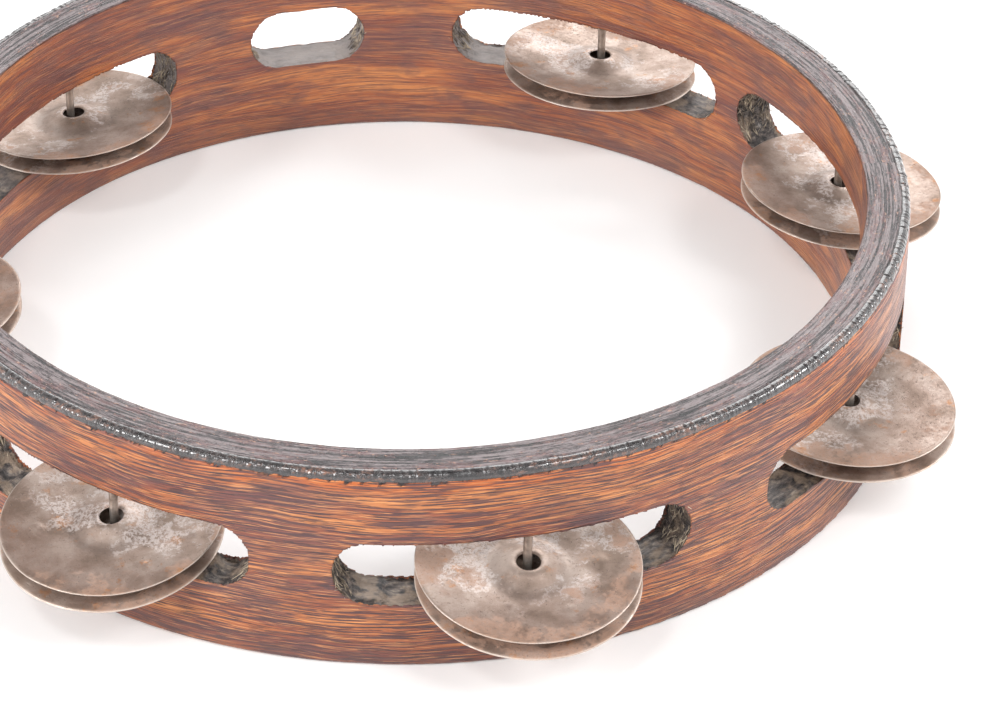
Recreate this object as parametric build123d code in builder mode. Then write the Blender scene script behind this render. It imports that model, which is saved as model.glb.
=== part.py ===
from build123d import *
import os
from collections import namedtuple
from math import asin, cos, degrees, radians, sin

os.makedirs("parts", exist_ok=True)

# A headless wooden tambourine, in millimetres. A bent wooden hoop has seven long slots. In each slot
# a nail stands upright through a loose pair of stamped steel plates, the jingle.
# The origin is the centre of the hoop's underside, with +Z up and +Y through the thumb hole.
# Bearings are degrees counter-clockwise from the thumb hole, seen from above.

# Hoop
hoop_radius = 127.0  # outside
hoop_wall = 11.2
hoop_height = 55.0
rim_round = 2.2  # the worn outer top edge
edge_round = 0.8  # the other three edges

# Openings through the wall, all of one height with round ends
slot_height = 16.6
slot_arc = 39.0  # degrees from end to end of a jingle slot, on the outside
thumb_arc = 14.8  # the same for the thumb hole
thumb_level = 29.5  # height of the thumb hole's middle

# The seven jingles, each placed by eye when the hoop was made: the bearings of its slot's middle and
# of its pin, and the height of its slot's middle. Its plates lie as they came to rest: lean is how
# many degrees they tip outwards, and slip is how far outwards of the pin their middles are.
Jingle = namedtuple("Jingle", "slot pin level lean slip")
jingles = [
    Jingle(39, 34.5, 26.7, 6, -1.2),
    Jingle(84, 83, 28.0, 6, 1.4),
    Jingle(131, 133, 27.0, 8, 1.0),
    Jingle(179, 180.5, 26.5, 7, 1.0),
    Jingle(229, 231, 25.8, 4, -0.4),
    Jingle(276, 276.5, 29.6, 6, 1.0),
    Jingle(320, 320, 29.3, 6, -0.8),
]

# Pins: nails driven up from the underside, heads just below flush
pin_radius = 1.05
pin_head_radius = 2.3
pin_head_height = 0.9
pin_sink = 0.3  # depth of the head below the underside
pin_top = 50.0  # height of the point, inside the upper band
pin_point = 4.0  # length of the point

# Jingle plates: a shallow dish with a boss pressed up through it, so that the hole is near rim level
plate_radius = 26.5
plate_sheet = 0.5
plate_hole_radius = 2.9
plate_lip = 0.2  # height of the boss's flat top over the rim
plate_dish = 2.15  # depth of the foot of the boss below the rim, before its bend rounds it off
boss_top_radius = 4.2
boss_foot_radius = 9.4
boss_top_bend = 3.5
boss_foot_bend = 7.0

plate_pitch = 4.7  # from rim to rim of a pair, which leaves their backs just apart at the boss's foot
floor_gap = 0.25  # between the lower plate and the slot's floor

wall_middle = hoop_radius - hoop_wall / 2
overcut = 2.0  # cutting tools pass this far beyond both faces of the wall


def outward(bearing):
    """Unit vector from the hoop's axis towards a bearing."""
    angle = radians(90 + bearing)
    return Vector(cos(angle), sin(angle), 0)


def upright_plane(origin, bearing):
    """Plane with its x axis outwards along a bearing and its y axis up."""
    return Plane(origin, x_dir=outward(bearing), z_dir=outward(bearing).cross(Vector(0, 0, 1)))


def pin_foot(jingle):
    """Where a jingle's pin meets the hoop's underside."""
    return outward(jingle.pin) * wall_middle


# Pins: a nail with a flat head, its shank and point one turned shape
pins = []
for number, jingle in enumerate(jingles, start=1):
    foot = pin_foot(jingle)
    with BuildPart() as pin:
        with BuildSketch(upright_plane(foot, jingle.pin)):
            with BuildLine():
                Polyline(
                    (0, pin_sink),
                    (pin_head_radius, pin_sink),
                    (pin_head_radius, pin_sink + pin_head_height),
                    (pin_radius, pin_sink + pin_head_height),
                    (pin_radius, pin_top - pin_point),
                    (0, pin_top),
                    close=True,
                )
            make_face()
        revolve(axis=Axis(foot, (0, 0, 1)))
    pin.part.label = f"pin_{number}"
    export_step(pin.part, f"parts/pin_{number}.step")
    pins.append(pin.part)

# Hoop: the bent strip, its openings, and the holes that the nails fill
with BuildPart() as hoop:
    with BuildSketch(Plane.XZ) as section:
        with Locations((wall_middle, hoop_height / 2)):
            Rectangle(hoop_wall, hoop_height)
        outer_top = section.vertices().group_by(Axis.Y)[-1].sort_by(Axis.X)[-1]
        fillet(outer_top, rim_round)
        square = [v for v in section.vertices() if v.X < wall_middle or v.Y < hoop_height / 2]
        fillet(square, edge_round)
    revolve(axis=Axis.Z)
    # Each opening is a straight-sided run of the wall with a round end on each side
    openings = [(0, thumb_arc, thumb_level)] + [(j.slot, slot_arc, j.level) for j in jingles]
    for bearing, arc, level in openings:
        half_run = arc / 2 - degrees(asin(slot_height / 2 / hoop_radius))
        with BuildSketch(upright_plane((0, 0, level), bearing - half_run)):
            with Locations((wall_middle, 0)):
                Rectangle(hoop_wall + 2 * overcut, slot_height)
        revolve(axis=Axis.Z, revolution_arc=2 * half_run, mode=Mode.SUBTRACT)
        for end in (bearing - half_run, bearing + half_run):
            inside = outward(end) * (wall_middle - hoop_wall / 2 - overcut) + Vector(0, 0, level)
            with BuildSketch(Plane(inside, z_dir=outward(end))):
                Circle(slot_height / 2)
            extrude(amount=hoop_wall + 2 * overcut, mode=Mode.SUBTRACT)
    # Room below each nail's head, then the hole that the nail fills
    with BuildSketch():
        with Locations(*[pin_foot(jingle) for jingle in jingles]):
            Circle(pin_head_radius)
    extrude(amount=pin_sink, mode=Mode.SUBTRACT)
    add(pins, mode=Mode.SUBTRACT)
hoop.part.label = "hoop"
export_step(hoop.part, "parts/hoop.step")


# Jingle plates: each pair lies back to back, the lower one upside down
for number, jingle in enumerate(jingles, start=1):
    lean = radians(jingle.lean)
    out = outward(jingle.pin)
    up = Vector(0, 0, 1)
    normal = out * sin(lean) + up * cos(lean)
    slope = out * cos(lean) - up * sin(lean)
    # Leaning, the lower plate stands on the outer edge of its boss
    floor = jingle.level - slot_height / 2
    lower_rim = floor + floor_gap + plate_lip + plate_sheet / 2 + boss_top_radius * sin(lean)
    for place, rim, side in (("lower", lower_rim, -1), ("upper", lower_rim + plate_pitch, 1)):
        centre = pin_foot(jingle) + out * jingle.slip + up * rim
        with BuildPart() as plate:
            with BuildSketch(Plane(centre, x_dir=slope, z_dir=slope.cross(normal))):
                with BuildLine():
                    FilletPolyline(
                        (plate_hole_radius, side * plate_lip),
                        (boss_top_radius, side * plate_lip),
                        (boss_foot_radius, -side * plate_dish),
                        (plate_radius, 0),
                        radius=(boss_top_bend, boss_foot_bend),
                    )
                trace(line_width=plate_sheet)
            revolve(axis=Axis(centre, normal))
        plate.part.label = f"jingle_{number}_{place}"
        export_step(plate.part, f"parts/jingle_{number}_{place}.step")
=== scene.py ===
import math

import bpy
import numpy as np
from mathutils import Matrix, Vector


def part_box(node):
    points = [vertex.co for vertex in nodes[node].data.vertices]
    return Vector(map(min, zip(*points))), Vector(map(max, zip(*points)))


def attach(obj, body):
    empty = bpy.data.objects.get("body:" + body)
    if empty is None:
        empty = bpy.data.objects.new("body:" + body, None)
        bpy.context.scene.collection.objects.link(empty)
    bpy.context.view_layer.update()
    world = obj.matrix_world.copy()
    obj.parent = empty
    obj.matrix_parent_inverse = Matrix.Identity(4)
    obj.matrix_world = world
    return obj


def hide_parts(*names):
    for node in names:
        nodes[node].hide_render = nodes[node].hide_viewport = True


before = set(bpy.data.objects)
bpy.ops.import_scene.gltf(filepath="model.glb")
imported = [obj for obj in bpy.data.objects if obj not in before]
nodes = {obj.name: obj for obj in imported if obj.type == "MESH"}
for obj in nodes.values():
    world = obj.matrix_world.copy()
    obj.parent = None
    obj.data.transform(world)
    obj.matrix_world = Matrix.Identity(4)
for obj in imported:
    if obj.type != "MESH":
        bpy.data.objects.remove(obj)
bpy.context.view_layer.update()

# The looks of a headless wooden tambourine: a bent hoop with a rough slot round each jingle, black
# varnish on its rim, and seven pairs of rusting steel plates. Blender works in metres. The lengths
# below are in mm, but for those of the lamps and the camera's place.
MM = 0.001

# Wood
VOXEL = 0.6  # size of the hoop's mesh cells
SCARF_BEARING = -24.0  # where the strip's ends overlap at the underside, in degrees from +X
SCARF_SLANT = 14.0  # degrees that the glued line runs along the hoop over its height
SLOT_ROUGHNESS = 0.55  # depth of the torn wood in the openings
SLOT_WAVE = 1.3  # how far the saw wandered
EDGE_CHIPS = 0.75  # depth of the chips along the openings' edges
RIM_WEAR = 0.22  # how far the top rim is worn down
GRAIN_DEPTH = 0.10  # depth of the open grain
WALL_WAVES = 0.12  # depth of the wall's long shallow waves
BEAD_SEAT = 0.32  # how far the wood is cut back under the varnish bead

# Where one finish of the hoop turns into the next, from start to end: by distance from the axis
INNER_FACE = (117.0, 116.0)
GLOW_OUT = (124.0, 126.5)  # the orange line under the varnish
VARNISH_DROP = (118.0, 125.5)  # the varnish reaches further down
SCUFFED_TOP = (125.6, 124.6)
BLACK_EDGE = (125.2, 126.6)
# by height
UNDERSIDE_DIRT = (9.0, 0.0)
GLOW_UP = (52.8, 54.4)
VARNISH_EDGE = 54.25  # how far down the varnish reaches at the rim's inner side
# and by distance towards the thumb hole, where the cuts get painted back light
BACKLIT_CUTS = (60.0, 105.0)

# Varnish bead along the outer top edge
EDGE_ROUND = 2.2  # radius of the worn edge that it lies on
CRUST_STEP = 0.2  # length of one mesh cell along the edge
CRUST_SERRATION = 0.27  # depth of its grooves
CRUST_PITCH = 0.85  # from groove to groove
CRUST_RINGS = 12  # lines of points along it
CRUST_CORE = 1.2  # radius of its hidden back, inside the wood

# Torn fibres at the openings' round ends
FIBRE_COUNT = 1500
FIBRE_RADIUS = 0.10  # on average; they taper
FIBRE_POINTS = 6  # along each fibre
FIBRE_SIDES = 3
FIBRE_CLEARANCE = 7.0  # from a pin's middle, so that none grows round the nail's hole

# Plates
PLATE_RINGS = 56  # rings of points from the hole to the rim
PLATE_SEGMENTS = 168  # points in each ring
PLATE_WARP = 0.22  # how far a rim waves up and down
PLATE_DENTS = 0.10  # from the deepest dent to the highest bulge
PLATE_EDGE = 0.22  # width of the rounding at the rim and the hole
BLISTER_HEIGHT = 0.28  # a sunken one is 0.7 of it deep
RIM_TRIM = 0.06  # keeps a waving rim inside the true plate's reach
# Plates with larger welts: the bearing of each on its plate, its distance out, width and height, the
# last as a multiple of a blister's
WELTS = {
    "jingle_4_upper": [(82, 16.9, 1.7, 2.0), (-22, 19.4, 1.5, 1.7), (-32, 13.6, 1.0, 1.3)],
    "jingle_3_upper": [(-50, 17.5, 1.6, 1.9), (60, 18.0, 1.4, 1.6)],
}

# Where one finish of a plate turns into the next, from start to end: by distance from its middle
RUST_RISE = (13.0, 26.0)
# the next two: a darker ring round the boss's foot, grime in the dish's hollow and painted shade
GRIME_AND_SHADE_START = (5.5, 8.6)
GRIME_AND_SHADE_END = (13.0, 9.8)
WORN_RIM = (26.15, 26.4)
# and by distance from the hoop's axis, for the painted glints beside the hoop
GLINT_START = (104.0, 112.0)
GLINT_END = (133.0, 124.0)

# Studio
SIDE_LIGHT = 1.10  # brightness of the sky up to the first height of LIGHT_FADE
TOP_LIGHT = 0.26  # and above the second
LIGHT_FADE = (0.62, 0.93)  # as sines of the elevation
FLOOR_GLOW = 0.07  # how brightly the table itself shines
FLOOR_REACH = 4000  # from the hoop's axis to each of the table's edges
CAMERA_PLACE = (-0.1995, -0.851, 0.601)
CAMERA_TURN = (14.832, 34.507, 0.899)  # degrees of yaw to the right, pitch down and roll
CAMERA_LENS = 148.1
CAMERA_SENSOR = 36

hoop_low, hoop_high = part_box("hoop")
hoop_radius = hoop_high.x / MM
hoop_height = hoop_high.z / MM
jingle_count = sum(name.startswith("pin_") for name in nodes)


# ---------- numbers that vary smoothly over space, the same in every run ----------


def lattice(cells, seed):
    """A number from 0 to 1 for each whole-numbered cell."""
    x, y, z = (cells[:, k].astype(np.int64) for k in range(3))
    mixed = (x * 73856093) ^ (y * 19349663) ^ (z * 83492791) ^ (seed * 26544357)
    mixed = ((mixed ^ (mixed >> 13)) * 12741261) & 0x7FFFFFFFFFFF
    return ((mixed ^ (mixed >> 16)) & 0xFFFF) / 0xFFFF


def noise(points, size, seed):
    """Smooth noise from 0 to 1 at points, with cells of size, one length for each axis."""
    scaled = points / np.array(size, float)
    cells = np.floor(scaled)
    share = scaled - cells
    share = share * share * (3 - 2 * share)
    total = np.zeros(len(points))
    for corner in np.ndindex(2, 2, 2):
        weight = np.prod(np.where(corner, share, 1 - share), axis=1)
        total += weight * lattice(cells + corner, seed)
    return total


def rough(points, size, seed, octaves=3):
    """Noise with finer noise on it."""
    size = np.array(size, float)
    weights = [0.5**k for k in range(octaves)]
    layers = [w * noise(points, size / 2**k, seed + k) for k, w in enumerate(weights)]
    return sum(layers) / sum(weights)


def step(value, low, high):
    """0 below low, 1 above high, and smooth between them."""
    share = np.clip((value - low) / (high - low), 0, 1)
    return share * share * (3 - 2 * share)


# ---------- meshes ----------


def places(mesh):
    """A mesh's points, in mm."""
    flat = np.zeros(len(mesh.vertices) * 3)
    mesh.vertices.foreach_get("co", flat)
    return flat.reshape(-1, 3) / MM


def normals(mesh):
    flat = np.zeros(len(mesh.vertices) * 3)
    mesh.vertices.foreach_get("normal", flat)
    return flat.reshape(-1, 3)


def set_places(mesh, points):
    mesh.vertices.foreach_set("co", (points * MM).ravel())
    mesh.update()


def set_values(mesh, name, values):
    """Gives each point of a mesh a number that its material can read."""
    layer = mesh.attributes.new(name, "FLOAT", "POINT")
    layer.data.foreach_set("value", values.astype(np.float32))


def piece(name, mesh, material, body, slot, *stands_for):
    """A finished piece of the object, riding on a body."""
    mesh.shade_smooth()
    mesh.materials.clear()
    mesh.materials.append(material)
    made = bpy.data.objects.new(name, mesh)
    bpy.context.scene.collection.objects.link(made)
    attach(made, body)
    if stands_for:
        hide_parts(*stands_for)
    return made


def mesh_from(name, points, faces):
    mesh = bpy.data.meshes.new(name)
    mesh.from_pydata((np.asarray(points) * MM).tolist(), [], faces)
    mesh.update()
    return mesh


# ---------- material nodes ----------


class Surface:
    """A material under construction. Each call adds a node and returns its output."""

    def __init__(self, name):
        self.material = bpy.data.materials.new(name)
        self.material.use_nodes = True
        self.tree = self.material.node_tree
        self.shader = self.tree.nodes["Principled BSDF"]

    def put(self, socket, value):
        if isinstance(value, bpy.types.NodeSocket):
            self.tree.links.new(value, socket)
        else:
            socket.default_value = value

    def node(self, kind, *inputs, **settings):
        made = self.tree.nodes.new("ShaderNode" + kind)
        for key, value in settings.items():
            setattr(made, key, value)
        for index, value in enumerate(inputs):
            if value is not None:
                self.put(made.inputs[index], value)
        return made

    def math(self, operation, *inputs, clamp=False):
        return self.node("Math", *inputs, operation=operation, use_clamp=clamp).outputs[0]

    def vector(self, x, y, z):
        return self.node("CombineXYZ", x, y, z).outputs[0]

    def cells(self, *axes):
        """A vector for noise: for each axis a distance with the length of its cells, or an offset."""
        return self.vector(*(self.math("DIVIDE", *a) if isinstance(a, tuple) else a for a in axes))

    def value(self, name):
        return self.node("Attribute", attribute_name=name).outputs["Fac"]

    def noise(self, vector, scale=1.0, detail=4.0, roughness=0.55):
        made = self.node("TexNoise")
        self.put(made.inputs["Vector"], vector)
        self.put(made.inputs["Scale"], scale)
        self.put(made.inputs["Detail"], detail)
        self.put(made.inputs["Roughness"], roughness)
        return made.outputs["Fac"]

    def between(self, value, low, high, start=0.0, end=1.0):
        """start below low, end above high."""
        made = self.node("MapRange", value, low, high, start, end, interpolation_type="SMOOTHSTEP")
        return made.outputs[0]

    def colours(self, value, *stops):
        made = self.node("ValToRGB", value)
        ramp = made.color_ramp
        while len(ramp.elements) < len(stops):
            ramp.elements.new(0.5)
        for element, (position, colour) in zip(ramp.elements, stops):
            element.position = position
            element.color = (*colour, 1)
        return made.outputs["Color"]

    def mix(self, share, under, over):
        made = self.node("Mix", data_type="RGBA")
        self.put(made.inputs["Factor"], share)
        for name, colour in (("A", under), ("B", over)):
            socket = next(s for s in made.inputs if s.name == name and s.type == "RGBA")
            self.put(socket, (*colour, 1) if isinstance(colour, tuple) else colour)
        return next(s for s in made.outputs if s.type == "RGBA")

    def bump(self, height, distance, under=None):
        made = self.node("Bump")
        made.inputs["Strength"].default_value = 1.0
        made.inputs["Distance"].default_value = distance * MM
        self.put(made.inputs["Height"], height)
        if under is not None:
            self.put(made.inputs["Normal"], under)
        return made.outputs[0]

    def finish(self, **inputs):
        for name, value in inputs.items():
            self.put(self.shader.inputs[name.replace("_", " ")], value)
        return self.material

    def strip(self):
        """Where a point is on the hoop's strip, in mm: along it, up it and out from the axis. The
        strip starts and ends at the scarf, whose line slants."""
        spot = self.node("TexCoord").outputs["Object"]
        split = self.node("SeparateXYZ", spot)
        x, y, z = (self.math("DIVIDE", part, MM) for part in split.outputs)
        angle = self.math("ARCTAN2", y, x)
        slant = math.radians(SCARF_SLANT) / hoop_height
        start = self.math("MULTIPLY_ADD", z, slant, math.radians(SCARF_BEARING) - math.pi)
        turned = self.math("WRAP", self.math("SUBTRACT", angle, start), math.pi, -math.pi)
        squares = (self.math("POWER", axis, 2.0) for axis in (x, y))
        out = self.math("SQRT", self.math("ADD", *squares))
        return self.math("MULTIPLY", turned, hoop_radius), z, out, turned


def stained_wood(s, grain, along, up, out, turned):
    """The wood's colour, its relief and its dark streaks."""
    patches = grain(26, 10.0, 4, 90.0)
    inner_face = s.between(out, *INNER_FACE)
    wood = s.colours(
        grain(55, 4.2, 6),
        (0.36, (0.165, 0.045, 0.030)),
        (0.47, (0.262, 0.070, 0.028)),
        (0.56, (0.375, 0.116, 0.036)),
        (0.66, (0.490, 0.176, 0.052)),
    )
    purple = s.math("MULTIPLY", s.between(patches, 0.50, 0.64), 0.62)
    wood = s.mix(purple, wood, (0.115, 0.046, 0.046))
    # An orange line under the varnish
    glow_edge = s.math("MULTIPLY_ADD", grain(7, 4.0, 3, 55.0), 7.0, up)
    glow = s.math("MULTIPLY", s.between(glow_edge, *GLOW_UP), s.between(out, *GLOW_OUT))
    glow = s.math("MULTIPLY", glow, s.between(patches, 0.64, 0.44, 0.15, 0.92))
    wood = s.mix(glow, wood, (0.430, 0.098, 0.014))
    # Light lines, and on the inner face dark blotches
    line_strength = s.math("MULTIPLY_ADD", inner_face, -0.45, 0.88)
    fibres = grain(11, 0.26, 2, 31.0)
    light_lines = s.math("MULTIPLY", s.between(fibres, 0.53, 0.62), line_strength)
    wood = s.mix(s.math("MULTIPLY", light_lines, 0.62), wood, (0.720, 0.318, 0.118))
    blotch = s.noise(s.cells((along, 12.0), (up, 6.0), 40.0), detail=4.0)
    blotch = s.math("MULTIPLY", s.between(blotch, 0.50, 0.66, 0.0, 0.55), inner_face)
    wood = s.mix(blotch, wood, (0.150, 0.062, 0.050))
    # Dark streaks and short pores
    streaks = s.between(grain(16, 0.50, 3, 7.0), 0.515, 0.55)
    dark_streaks = s.math("MULTIPLY", streaks, line_strength)
    wood = s.mix(dark_streaks, wood, (0.070, 0.030, 0.034))
    pores = s.math("MULTIPLY", s.between(grain(6.5, 0.30, 1, 57.0), 0.59, 0.63), line_strength)
    wood = s.mix(s.math("MULTIPLY", pores, 0.85), wood, (0.040, 0.022, 0.026))
    low_edge = s.math("MULTIPLY", s.between(up, *UNDERSIDE_DIRT), 0.35)
    wood = s.mix(low_edge, wood, (0.115, 0.060, 0.052))
    # The glued line of the scarf
    seam = s.between(s.math("ABSOLUTE", turned), math.pi - 0.003, math.pi - 0.001)
    wood = s.mix(s.math("MULTIPLY", seam, 0.12), wood, (0.05, 0.03, 0.025))
    hollows = s.math("ADD", s.math("MULTIPLY", dark_streaks, 0.6), s.math("MULTIPLY", pores, 0.6))
    return wood, s.math("SUBTRACT", fibres, hollows), dark_streaks


def torn_wood(s, along, up, out, across):
    """The openings' torn wood, dark with pale threads along the cut and painted back light on the cuts
    towards the thumb hole: its colour and its ridges.
    """
    ridge = s.noise(s.cells((along, 5.0), (up, 0.55), (out, 1.6)), detail=5.0, roughness=0.65)
    clumps = s.noise(s.cells((along, 6.0), (up, 5.0), (out, 5.0)))
    fuzz = s.colours(
        ridge,
        (0.36, (0.012, 0.010, 0.010)),
        (0.46, (0.050, 0.040, 0.038)),
        (0.56, (0.120, 0.096, 0.086)),
        (0.68, (0.320, 0.260, 0.205)),
    )
    straw = s.math("MULTIPLY", s.between(clumps, 0.47, 0.60), 0.6)
    fuzz = s.mix(straw, fuzz, (0.360, 0.262, 0.185))
    # Painted back light: towards the thumb hole at the back, the cuts are painted pale grey in patches,
    # as if lit from behind
    backlight_patches = s.between(clumps, 0.25, 0.55, 0.55, 0.85)
    painted_backlight = s.math("MULTIPLY", s.between(across, *BACKLIT_CUTS), backlight_patches)
    return s.mix(painted_backlight, fuzz, (0.330, 0.290, 0.275)), ridge


def rim_black(s, along, up, out):
    """Worn varnish on the rim, with drips over its outer edge: its colour, where it is, its flakes
    and its brush marks."""
    runs = s.noise(s.cells((along, 4.0), 0.0, 70.0), detail=5.0, roughness=0.7)
    drips = s.math("MULTIPLY_ADD", s.between(runs, 0.40, 0.74), 1.9, 1.0)
    reach = s.math("SUBTRACT", VARNISH_EDGE, s.math("MULTIPLY", s.between(out, *VARNISH_DROP), drips))
    varnish = s.between(s.math("SUBTRACT", up, reach), -0.40, 0.25)
    flakes = s.noise(s.cells((along, 3.0), (out, 0.8), (up, 0.8)), detail=6.0, roughness=0.7)
    brush = s.noise(s.cells((along, 26.0), (out, 0.55), (up, 0.8)), detail=4.0, roughness=0.65)
    black = s.colours(
        s.math("ADD", s.math("MULTIPLY", flakes, 0.3), s.math("MULTIPLY", brush, 0.7)),
        (0.425, (0.006, 0.005, 0.006)),
        (0.475, (0.056, 0.041, 0.044)),
        (0.53, (0.270, 0.220, 0.222)),
    )
    # Bare wood and pale chips on top
    scuffs = s.noise(s.cells((along, 11.0), (out, 2.4), (up, 2.0)), detail=8.0, roughness=0.8)
    on_top = s.between(out, *SCUFFED_TOP)
    bare = s.math("MULTIPLY", s.between(scuffs, 0.52, 0.57), on_top)
    black = s.mix(s.math("MULTIPLY", bare, 0.55), black, (0.190, 0.080, 0.078))
    grit = s.noise(s.cells((along, 1.5), (out, 0.7), (up, 0.7)), detail=3.0)
    chips = s.math("MULTIPLY", s.between(grit, 0.60, 0.65), s.between(scuffs, 0.47, 0.54))
    chips = s.math("MULTIPLY", chips, on_top)
    black = s.mix(s.math("MULTIPLY", chips, 0.85), black, (0.520, 0.300, 0.215))
    black = s.mix(s.between(out, *BLACK_EDGE, 0.0, 0.75), black, (0.014, 0.011, 0.012))
    return black, varnish, flakes, brush


def wood_surface():
    """Stained hardwood with a long dark grain, torn grey wood in the openings and worn black varnish
    on the rim."""
    s = Surface("stained_wood")
    along, up, out, turned = s.strip()
    spot = s.node("SeparateXYZ", s.node("TexCoord").outputs["Object"])
    across = s.math("DIVIDE", spot.outputs["Y"], MM)
    wander = s.noise(s.cells((along, 60.0), (up, 30.0), 0.0), detail=2.0)
    line = s.math("MULTIPLY_ADD", wander, 6.0, up)

    def grain(length, width, detail=4.0, offset=0.0):
        """Noise in long thin cells that follow the wandering lines of the wood."""
        lines = s.math("MULTIPLY_ADD", line, 1 / width, offset)
        return s.noise(s.cells((along, length), lines, (out, width)), detail=detail)

    wood, relief, dark_streaks = stained_wood(s, grain, along, up, out, turned)
    fuzz, ridge = torn_wood(s, along, up, out, across)
    black, varnish, flakes, brush = rim_black(s, along, up, out)
    ragged = s.math("MULTIPLY_ADD", grain(2.5, 1.0, 3, 12.0), 0.8, -0.4)
    cut = s.between(s.math("ADD", s.value("cut"), ragged), 0.40, 0.60)
    colour = s.mix(varnish, s.mix(cut, wood, fuzz), black)

    streak_roughness = s.math("MULTIPLY_ADD", dark_streaks, 0.14, 0.34)
    roughness = s.node("Mix", varnish, data_type="FLOAT")
    s.put(roughness.inputs["A"], s.math("MULTIPLY_ADD", cut, 0.42, streak_roughness))
    s.put(roughness.inputs["B"], s.between(flakes, 0.42, 0.58, 0.09, 0.50))
    brushed = s.math("ADD", flakes, s.math("MULTIPLY", brush, 2.0))
    bumps = s.bump(relief, 0.11)
    bumps = s.bump(s.math("MULTIPLY", ridge, cut), 1.1, bumps)
    bumps = s.bump(s.math("MULTIPLY", brushed, varnish), 0.55, bumps)
    return s.finish(
        Base_Color=colour,
        Roughness=roughness.outputs[0],
        Normal=bumps,
        Coat_Weight=0.18,
        Coat_Roughness=0.26,
    )


def crust_surface():
    """Thick black varnish, glossy where it isn't scuffed."""
    s = Surface("varnish_crust")
    along, up, out, _ = s.strip()
    spots = s.noise(s.cells((along, 1.6), (up, 1.1), (out, 1.1)), detail=6.0, roughness=0.7)
    scuffs = s.noise(s.cells((along, 14.0), (up, 2.5), 0.0), detail=5.0)
    colour = s.colours(
        s.math("ADD", s.math("MULTIPLY", spots, 0.6), s.math("MULTIPLY", scuffs, 0.4)),
        (0.44, (0.012, 0.010, 0.011)),
        (0.54, (0.045, 0.034, 0.033)),
        (0.64, (0.210, 0.095, 0.060)),
    )
    return s.finish(
        Base_Color=colour,
        Roughness=s.between(spots, 0.44, 0.70, 0.07, 0.40),
        Normal=s.bump(spots, 0.30),
        Coat_Weight=1.0,
        Coat_Roughness=0.07,
    )


def fibre_surface():
    """Straw-coloured torn wood fibres, darker and dirtier in patches."""
    s = Surface("torn_fibre")
    spot = s.node("TexCoord").outputs["Object"]
    dirt = s.noise(spot, 420.0, 3.0)
    colour = s.colours(
        dirt,
        (0.40, (0.085, 0.068, 0.058)),
        (0.50, (0.300, 0.240, 0.185)),
        (0.60, (0.560, 0.460, 0.340)),
    )
    return s.finish(Base_Color=colour, Roughness=0.8, Normal=s.bump(dirt, 0.05))


def jingle_surface():
    """Old steel: warm grey, pitted, with rust towards the rim, pale glints painted beside the hoop,
    grime and painted shade round the boss's foot, and a thin worn edge."""
    s = Surface("aged_steel")
    spot = s.node("TexCoord").outputs["Object"]
    _, _, out, _ = s.strip()
    ring = s.value("ring")
    clouds = s.noise(spot, 110.0, 6.0, 0.6)
    patches = s.noise(spot, 70.0, 7.0, 0.68)
    blotches = s.noise(spot, 165.0, 6.0, 0.7)
    pits = s.noise(spot, 1350.0, 3.0, 0.7)
    speckle = s.noise(spot, 1100.0, 5.0, 0.8)
    colour = s.colours(
        clouds,
        (0.36, (0.290, 0.215, 0.172)),
        (0.50, (0.400, 0.305, 0.255)),
        (0.62, (0.500, 0.405, 0.352)),
    )
    near_rim = s.between(ring, *RUST_RISE, -0.045, 0.055)
    rust = s.between(s.math("ADD", patches, near_rim), 0.53, 0.62)
    rust = s.math("MULTIPLY", rust, s.between(speckle, 0.36, 0.60, 0.45, 1.0))
    colour = s.mix(s.math("MULTIPLY", rust, 0.7), colour, (0.440, 0.262, 0.180))
    stains = s.between(blotches, 0.58, 0.68)
    colour = s.mix(s.math("MULTIPLY", stains, 0.65), colour, (0.480, 0.225, 0.095))
    # Painted glints: pale specks beside the hoop, less rough and less metallic, stand in for white
    # glints there
    beside_hoop = s.math("MULTIPLY", s.between(out, *GLINT_END), s.between(out, *GLINT_START))
    painted_glints = s.between(s.math("MULTIPLY_ADD", beside_hoop, 0.10, patches), 0.56, 0.62)
    painted_glints = s.math("MULTIPLY", painted_glints, s.math("SUBTRACT", 1.0, rust, clamp=True))
    painted_glints = s.math("MULTIPLY", painted_glints, s.between(speckle, 0.43, 0.54))
    colour = s.mix(s.math("MULTIPLY", painted_glints, 0.50), colour, (0.700, 0.635, 0.620))
    pit_mask = s.between(pits, 0.58, 0.68)
    colour = s.mix(s.math("MULTIPLY", pit_mask, 0.45), colour, (0.140, 0.100, 0.085))
    # A darker ring round the boss's foot: grime in the dish's hollow, and painted shade that deepens
    # the dish's dark crescent
    grime_and_shade = s.math("MULTIPLY", s.between(ring, *GRIME_AND_SHADE_START), s.between(ring, *GRIME_AND_SHADE_END))
    colour = s.mix(s.math("MULTIPLY", grime_and_shade, 0.22), colour, (0.170, 0.145, 0.135))
    worn = s.between(ring, *WORN_RIM)
    colour = s.mix(s.math("MULTIPLY", worn, 0.6), colour, (0.640, 0.570, 0.510))
    roughness = s.math("MULTIPLY_ADD", rust, 0.20, s.between(speckle, 0.35, 0.65, 0.46, 0.62))
    roughness = s.math("SUBTRACT", roughness, s.math("MULTIPLY", painted_glints, 0.10))
    metal = s.between(s.math("MAXIMUM", rust, painted_glints), 0.0, 1.0, 0.85, 0.35)
    relief = s.math("SUBTRACT", s.math("MULTIPLY", speckle, 0.6), s.math("MULTIPLY", pit_mask, 0.6))
    return s.finish(Base_Color=colour, Metallic=metal, Roughness=roughness, Normal=s.bump(relief, 0.07))


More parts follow.
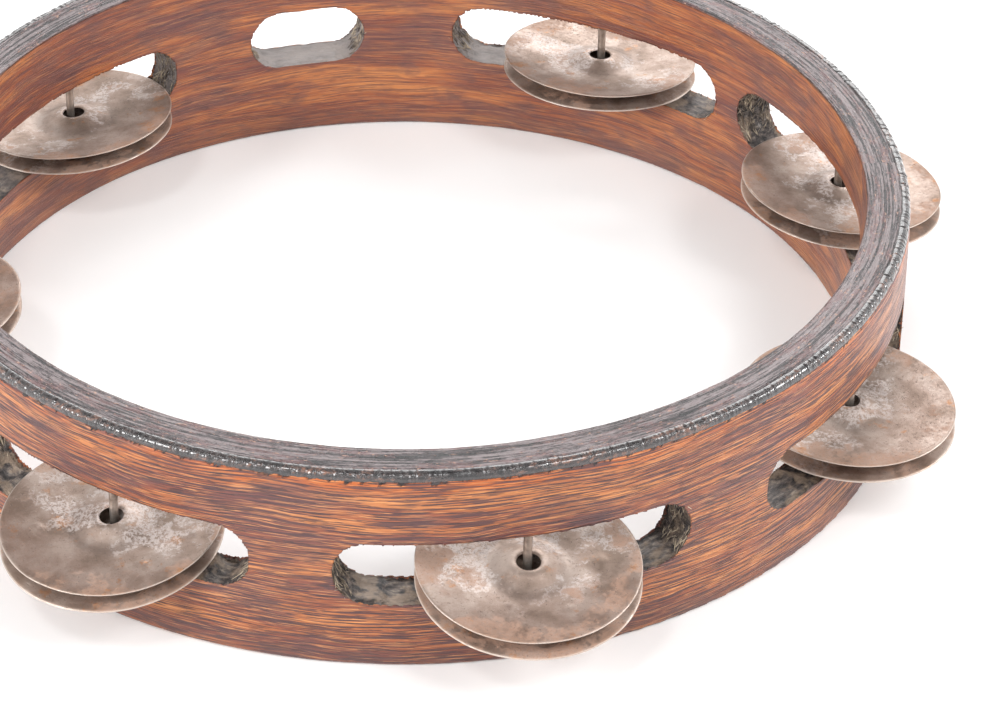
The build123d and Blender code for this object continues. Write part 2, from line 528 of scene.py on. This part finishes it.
def pin_surface():
    """A drawn nail: brown-grey steel with fine lines along it."""
    s = Surface("nail_steel")
    spot = s.node("TexCoord").outputs["Object"]
    drawn = s.node("Mapping", spot)
    drawn.inputs["Scale"].default_value = (2400, 2400, 120)
    lines = s.noise(drawn.outputs[0], 1.0, 3.0)
    stain = s.noise(spot, 260.0, 5.0)
    colour = s.colours(
        stain,
        (0.36, (0.230, 0.180, 0.150)),
        (0.52, (0.450, 0.390, 0.345)),
        (0.68, (0.600, 0.545, 0.500)),
    )
    roughness = s.between(stain, 0.35, 0.65, 0.55, 0.32)
    return s.finish(Base_Color=colour, Metallic=0.85, Roughness=roughness, Normal=s.bump(lines, 0.05))


# ---------- hoop ----------


def wall_radii():
    """The hoop's inner and outer radius."""
    points = places(nodes["hoop"].data)
    out = np.hypot(points[:, 0], points[:, 1])
    return out.min(), out.max()


def voxel_copy(node):
    """The CAD node's shape as an even mesh."""
    source = bpy.data.objects.new("voxel_source", nodes[node].data.copy())
    bpy.context.scene.collection.objects.link(source)
    remesh = source.modifiers.new("voxels", "REMESH")
    remesh.mode = "VOXEL"
    remesh.voxel_size = VOXEL * MM
    graph = bpy.context.evaluated_depsgraph_get()
    mesh = bpy.data.meshes.new_from_object(source.evaluated_get(graph))
    bpy.data.objects.remove(source)
    return mesh


def hoop_mesh():
    """The hoop with worn edges, torn openings and a grain, cut into the wood and never out of it."""
    mesh = voxel_copy("hoop")
    points, facing = places(mesh), normals(mesh)
    inner, outer = wall_radii()
    out = np.hypot(points[:, 0], points[:, 1])
    up = points[:, 2]
    # The even mesh is a little off the true walls, so its points are put back on them
    for wall in (inner, outer):
        near = (np.abs(out - wall) < VOXEL / 2) & (up > 1.5) & (up < hoop_height - 3)
        points[near, :2] *= (wall / out[near])[:, None]
    out = np.hypot(points[:, 0], points[:, 1])
    strip = np.stack([np.arctan2(points[:, 1], points[:, 0]) * outer, up, out], axis=1)

    radial = np.abs((facing[:, :2] * points[:, :2]).sum(1)) / out
    inside = np.minimum(out - inner, outer - out)
    in_wall = (up > 4) & (up < hoop_height - 4)
    cut = np.where(in_wall, np.maximum(step(inside, 0.15, 0.8), step(radial, 0.8, 0.4)), 0)

    depth = GRAIN_DEPTH * step(rough(strip, (14, 1.3, 1.3), 5), 0.5, 0.75)
    depth += WALL_WAVES * noise(strip, (45, 16, 30), 9)
    torn = rough(strip, (3.2, 1.5, 1.6), 21)
    wavy = SLOT_WAVE * step(noise(strip, (7, 7, 25), 27), 0.35, 0.85)
    depth = np.where(cut > 0.5, SLOT_ROUGHNESS * torn + wavy, depth)
    edge = cut * step(inside, 1.6, 0.0)
    depth += EDGE_CHIPS * edge * step(rough(strip, (2.6, 2.2, 2.2), 33), 0.35, 0.75)
    rim = step(up, hoop_height - 1.2, hoop_height - 0.3)
    depth += rim * RIM_WEAR * (0.5 + rough(strip, (16, 3, 1.3), 47))
    # The bead's seat starts just inside the rounded edge
    start = EDGE_ROUND + 0.6
    under_bead = step(out, outer - start, outer - EDGE_ROUND)
    under_bead *= step(up, hoop_height - start, hoop_height - EDGE_ROUND)
    depth += BEAD_SEAT * under_bead
    points -= facing * depth[:, None]
    set_places(mesh, points)
    set_values(mesh, "cut", cut)
    return mesh, facing, cut, radial


def crust_mesh():
    """The varnish built up along the outer top edge: a low serrated bead that is sunk in the wood."""
    _, outer = wall_radii()
    count = int(2 * math.pi * outer / CRUST_STEP)
    angles = np.arange(count) / count * 2 * math.pi
    # From the rim over the rounded edge to the wall, then back inside the wood
    middle = np.array([outer - EDGE_ROUND, hoop_height - EDGE_ROUND])
    arc = angles * outer
    around = np.stack([arc, np.zeros(count), np.zeros(count)], axis=1)
    width = noise(around, (22, 1, 1), 61)
    groove = step(rough(around, (CRUST_PITCH, 1, 1), 62, 2), 0.30, 0.62)
    lump = rough(around, (5.0, 1, 1), 63)
    first = np.radians(103 + 26 * (rough(around, (4.5, 1, 1), 64) - 0.5))
    last = math.radians(-14)
    rings = []
    # At its feet the bead lies a little below the true edge, level with its seat
    for share in np.linspace(0, 1, CRUST_RINGS):
        turn = first + (last - first) * share
        crown = math.sin(math.pi * share) ** 0.6 if share < 1 else 0
        swell = 0.20 + 0.16 * width * lump - CRUST_SERRATION * (1 - groove) * (0.3 + 0.9 * lump)
        reach = np.minimum(EDGE_ROUND - 0.34 + crown * swell, EDGE_ROUND - 0.01)
        rings.append((middle[0] + reach * np.cos(turn), middle[1] + reach * np.sin(turn)))
    for turn in np.radians((-14, 45, 105)):
        out, up = middle + CRUST_CORE * np.array([math.cos(turn), math.sin(turn)])
        rings.append((np.full(count, out), np.full(count, up)))
    rings = [np.stack([out * np.cos(angles), out * np.sin(angles), up], axis=1) for out, up in rings]
    faces = [
        (a * count + i, a * count + (i + 1) % count, b * count + (i + 1) % count, b * count + i)
        for a, b in zip(range(len(rings)), [*range(1, len(rings)), 0])
        for i in range(count)
    ]
    return mesh_from("rim_varnish", np.concatenate(rings), faces)


def fibre_mesh(mesh, facing, cut, radial):
    """Torn fibres lying on the round ends of the openings, each a bent strand with flat sides."""
    points = places(mesh)
    out = np.hypot(points[:, 0], points[:, 1])
    inner, outer = wall_radii()
    round_end = (cut > 0.9) & (np.abs(facing[:, 2]) < 0.8) & (radial < 0.4)
    round_end &= (out > inner + 0.8) & (out < outer - 0.8)
    for number in range(1, jingle_count + 1):
        low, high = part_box(f"pin_{number}")
        middle = (np.array(low) + np.array(high)) / 2 / MM
        round_end &= np.hypot(points[:, 0] - middle[0], points[:, 1] - middle[1]) > FIBRE_CLEARANCE
    seeds = np.flatnonzero(round_end)
    draw = np.random.default_rng(7)
    chosen = draw.choice(seeds, FIBRE_COUNT, replace=False)
    strands, faces = [], []
    for start in chosen:
        outwards = np.array([points[start, 0], points[start, 1], 0]) / out[start]
        climb = np.array([0, 0, 1]) - facing[start] * facing[start, 2]
        climb /= max(np.linalg.norm(climb), 1e-6)
        lay = draw.normal(0, 0.45)
        heading = climb * math.cos(lay) + outwards * math.sin(lay)
        length = draw.uniform(2.0, 6.0)
        lift = draw.uniform(0.0, 0.45)
        base = points[start] - facing[start] * 0.05
        line = []
        for share in np.linspace(-0.5, 0.5, FIBRE_POINTS):
            arch = lift * (1 - (2 * share) ** 2)
            line.append(base + heading * length * share + facing[start] * arch)
        side = np.cross(heading, facing[start])
        side /= max(np.linalg.norm(side), 1e-6)
        first = len(strands)
        for index, spot in enumerate(line):
            taper = FIBRE_RADIUS * (0.35 + math.sin(math.pi * (index + 0.5) / FIBRE_POINTS))
            for turn in range(FIBRE_SIDES):
                angle = turn * 2 * math.pi / FIBRE_SIDES
                across = side * math.cos(angle) + facing[start] * math.sin(angle)
                strands.append(spot + taper * across)
        for index in range(FIBRE_POINTS - 1):
            for turn in range(FIBRE_SIDES):
                a = first + index * FIBRE_SIDES + turn
                b = first + index * FIBRE_SIDES + (turn + 1) % FIBRE_SIDES
                faces.append((a, b, b + FIBRE_SIDES, a + FIBRE_SIDES))
        last = first + (FIBRE_POINTS - 1) * FIBRE_SIDES
        faces.append(tuple(range(first + FIBRE_SIDES - 1, first - 1, -1)))
        faces.append(tuple(range(last, last + FIBRE_SIDES)))
    return mesh_from("fibres", strands, faces)


# ---------- plates ----------


def plate_frame(node):
    """A plate's middle, its axis, its outward and sideways directions, all from its CAD node."""
    low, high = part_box(node)
    points = places(nodes[node].data)
    middle = (np.array(low) + np.array(high)) / 2 / MM
    reach = np.linalg.norm(points[:, :2] - middle[:2], axis=1)
    rim = points[reach > reach.max() - 0.9]
    centre = (rim.min(0) + rim.max(0)) / 2
    _, _, directions = np.linalg.svd(rim - rim.mean(0))
    axis = directions[2] * np.sign(directions[2, 2])
    outwards = np.array([centre[0], centre[1], 0.0])
    outwards -= axis * (outwards @ axis)
    outwards /= np.linalg.norm(outwards)
    return centre, axis, outwards, np.cross(axis, outwards)


def sheet_profile(node, centre, axis, side):
    """The heights of one face of a plate, from its CAD node: radii and heights."""
    mesh = nodes[node].data
    points = places(mesh) - centre
    heights = points @ axis
    radii = np.linalg.norm(points - heights[:, None] * axis, axis=1)
    faces_this_way = normals(mesh) @ axis * side > 0.6
    order = np.argsort(radii[faces_this_way])
    return radii[faces_this_way][order], heights[faces_this_way][order]


def plate_mesh(node, number, blisters):
    """A plate with the CAD's profile, a softened rim, a slight warp, and small dents and blisters.
    The number picks the plate's own part of the noise."""
    centre, axis, outwards, sideways = plate_frame(node)
    top_radii, top_heights = sheet_profile(node, centre, axis, 1)
    low_radii, low_heights = sheet_profile(node, centre, axis, -1)
    hole, rim = top_radii.min(), top_radii.max() - RIM_TRIM
    share = np.linspace(0, 1, PLATE_RINGS)
    radii = hole + (rim - hole) * share
    angles = np.arange(PLATE_SEGMENTS) / PLATE_SEGMENTS * 2 * math.pi
    ring, turn = np.meshgrid(radii, angles, indexing="ij")
    x, y = ring * np.cos(turn), ring * np.sin(turn)
    flat = np.stack([x.ravel(), y.ravel(), np.full(x.size, 50.0 * number)], axis=1)
    free = step(ring, 11, 19)
    wave = rough(flat, (17, 17, 1), 71).reshape(x.shape) - 0.5
    dents = rough(flat, (4.5, 4.5, 1), 83, 2).reshape(x.shape) - 0.5
    bend = free * (2 * PLATE_WARP * wave + PLATE_DENTS * dents)
    for angle, radius, size, height in blisters:
        bx = radius * math.cos(math.radians(angle))
        by = radius * math.sin(math.radians(angle))
        bend += height * BLISTER_HEIGHT * np.exp(-(((x - bx) ** 2 + (y - by) ** 2) / size**2) ** 1.4)
    # Both faces meet in a rounded edge at the rim and at the hole
    upper = np.interp(ring, top_radii, top_heights)
    lower = np.interp(ring, low_radii, low_heights)
    half = (upper - lower) / 2
    from_edge = np.minimum(rim - ring, ring - hole)
    inwards = np.clip(from_edge / PLATE_EDGE, 0, 1)
    swell = np.sqrt(np.clip(1 - (1 - inwards) ** 2, 0.02, 1))
    middle = (upper + lower) / 2 + bend
    sheets = []
    for sign in (1, -1):
        height = middle + sign * half * swell
        spots = x[..., None] * outwards + y[..., None] * sideways + height[..., None] * axis
        sheets.append((centre + spots).reshape(-1, 3))
    count = PLATE_SEGMENTS
    faces = []
    for base in (0, PLATE_RINGS * count):
        for a in range(base, base + (PLATE_RINGS - 1) * count, count):
            for i in range(count):
                j = (i + 1) % count
                quad = (a + i, a + count + i, a + count + j, a + j)
                faces.append(quad if base == 0 else quad[::-1])
    for a in (0, (PLATE_RINGS - 1) * count):
        b = a + PLATE_RINGS * count
        for i in range(count):
            j = (i + 1) % count
            quad = (a + i, a + j, b + j, b + i)
            faces.append(quad if a == 0 else quad[::-1])
    mesh = mesh_from(node, np.concatenate(sheets), faces)
    set_values(mesh, "ring", np.tile(ring.ravel(), 2))
    return mesh


# ---------- the object ----------

wood = wood_surface()
mesh, facing, cut, radial = hoop_mesh()
piece("hoop_wood", mesh, wood, "hoop", "hoop_wood", "hoop")
piece("rim_varnish", crust_mesh(), crust_surface(), "hoop", "hoop_wood")
piece("torn_fibres", fibre_mesh(mesh, facing, cut, radial), fibre_surface(), "hoop", "hoop_wood")

steel = jingle_surface()
draw = np.random.default_rng(3)
for number in range(1, jingle_count + 1):
    for place in ("lower", "upper"):
        name = f"jingle_{number}_{place}"
        blisters = []
        for _ in range(3):
            spot = (draw.uniform(0, 360), draw.uniform(13, 22))
            blisters.append((*spot, draw.uniform(1.3, 2.0), draw.choice((-0.7, 1.0))))
        blisters += WELTS.get(name, [])
        mesh = plate_mesh(name, number * 2 + (place == "upper"), blisters)
        piece(f"plate_{number}_{place}", mesh, steel, name, "jingle_steel", name)

nail = pin_surface()
for number in range(1, jingle_count + 1):
    pin = nodes[f"pin_{number}"]
    for slot in pin.material_slots:
        slot.material = nail


# ---------- floor, light and camera ----------


def floor():
    """A plain white table that glows a little, as a lit one does."""
    s = Surface("pale_floor")
    spot = s.node("TexCoord").outputs["Object"]
    faint = s.noise(spot, 9.0, 4.0)
    colour = s.colours(faint, (0.3, (0.90, 0.90, 0.90)), (0.7, (0.93, 0.93, 0.93)))
    material = s.finish(
        Base_Color=colour,
        Roughness=0.7,
        Normal=s.bump(faint, 0.3),
        Emission_Color=(1, 1, 1, 1),
        Emission_Strength=FLOOR_GLOW,
    )
    corners = [(x * FLOOR_REACH, y * FLOOR_REACH, 0) for x, y in ((-1, -1), (1, -1), (1, 1), (-1, 1))]
    mesh = mesh_from("floor", corners, [(0, 1, 2, 3)])
    mesh.materials.append(material)
    made = bpy.data.objects.new("floor", mesh)
    bpy.context.scene.collection.objects.link(made)


def lamp(name, place, size, power):
    """A square soft light that faces the object: its place and size in metres, its power in watts."""
    data = bpy.data.lights.new(name, "AREA")
    data.shape = "SQUARE"
    data.size = size
    data.energy = power
    made = bpy.data.objects.new(name, data)
    made.location = place
    made.rotation_euler = (-Vector(place)).to_track_quat("-Z", "Y").to_euler()
    bpy.context.scene.collection.objects.link(made)


def camera():
    """Three-quarter view from the front, looking down on the hoop."""
    yaw, pitch, roll = (math.radians(a) for a in CAMERA_TURN)
    level = math.cos(pitch)
    ahead = Vector((math.sin(yaw) * level, math.cos(yaw) * level, -math.sin(pitch)))
    right = ahead.cross(Vector((0, 0, 1))).normalized()
    above = right.cross(ahead)
    right, above = (
        right * math.cos(roll) + above * math.sin(roll),
        above * math.cos(roll) - right * math.sin(roll),
    )
    data = bpy.data.cameras.new("camera")
    data.sensor_width = CAMERA_SENSOR
    data.lens = CAMERA_LENS
    made = bpy.data.objects.new("camera", data)
    turn = Matrix((right, above, -ahead)).transposed().to_4x4()
    made.matrix_world = Matrix.Translation(Vector(CAMERA_PLACE)) @ turn
    bpy.context.scene.collection.objects.link(made)
    bpy.context.scene.camera = made


def studio():
    """Light from all round, bright at the sides and dimmer overhead."""
    world = bpy.data.worlds.new("studio")
    world.use_nodes = True
    tree = world.node_tree
    direction = tree.nodes.new("ShaderNodeTexCoord")
    split = tree.nodes.new("ShaderNodeSeparateXYZ")
    fade = tree.nodes.new("ShaderNodeMapRange")
    fade.interpolation_type = "SMOOTHSTEP"
    ends = (*LIGHT_FADE, SIDE_LIGHT, TOP_LIGHT)
    for name, value in zip(("From Min", "From Max", "To Min", "To Max"), ends):
        fade.inputs[name].default_value = value
    tree.nodes["Background"].inputs["Color"].default_value = (1, 1, 1, 1)
    tree.links.new(direction.outputs["Generated"], split.inputs[0])
    tree.links.new(split.outputs["Z"], fade.inputs["Value"])
    tree.links.new(fade.outputs[0], tree.nodes["Background"].inputs["Strength"])
    bpy.context.scene.world = world
    bpy.context.scene.view_settings.view_transform = "Standard"


floor()
studio()
lamp("back_light", (0.6, 1.30, 1.05), 1.0, 13)
lamp("left_light", (-1.35, -0.55, 0.75), 0.5, 16)
lamp("right_light", (1.45, -0.35, 0.80), 0.4, 13)
lamp("front_light", (0.49, -0.81, 1.05), 0.34, 4.4)
lamp("front_left_light", (-0.55, -0.62, 1.15), 0.2, 3.0)
camera()
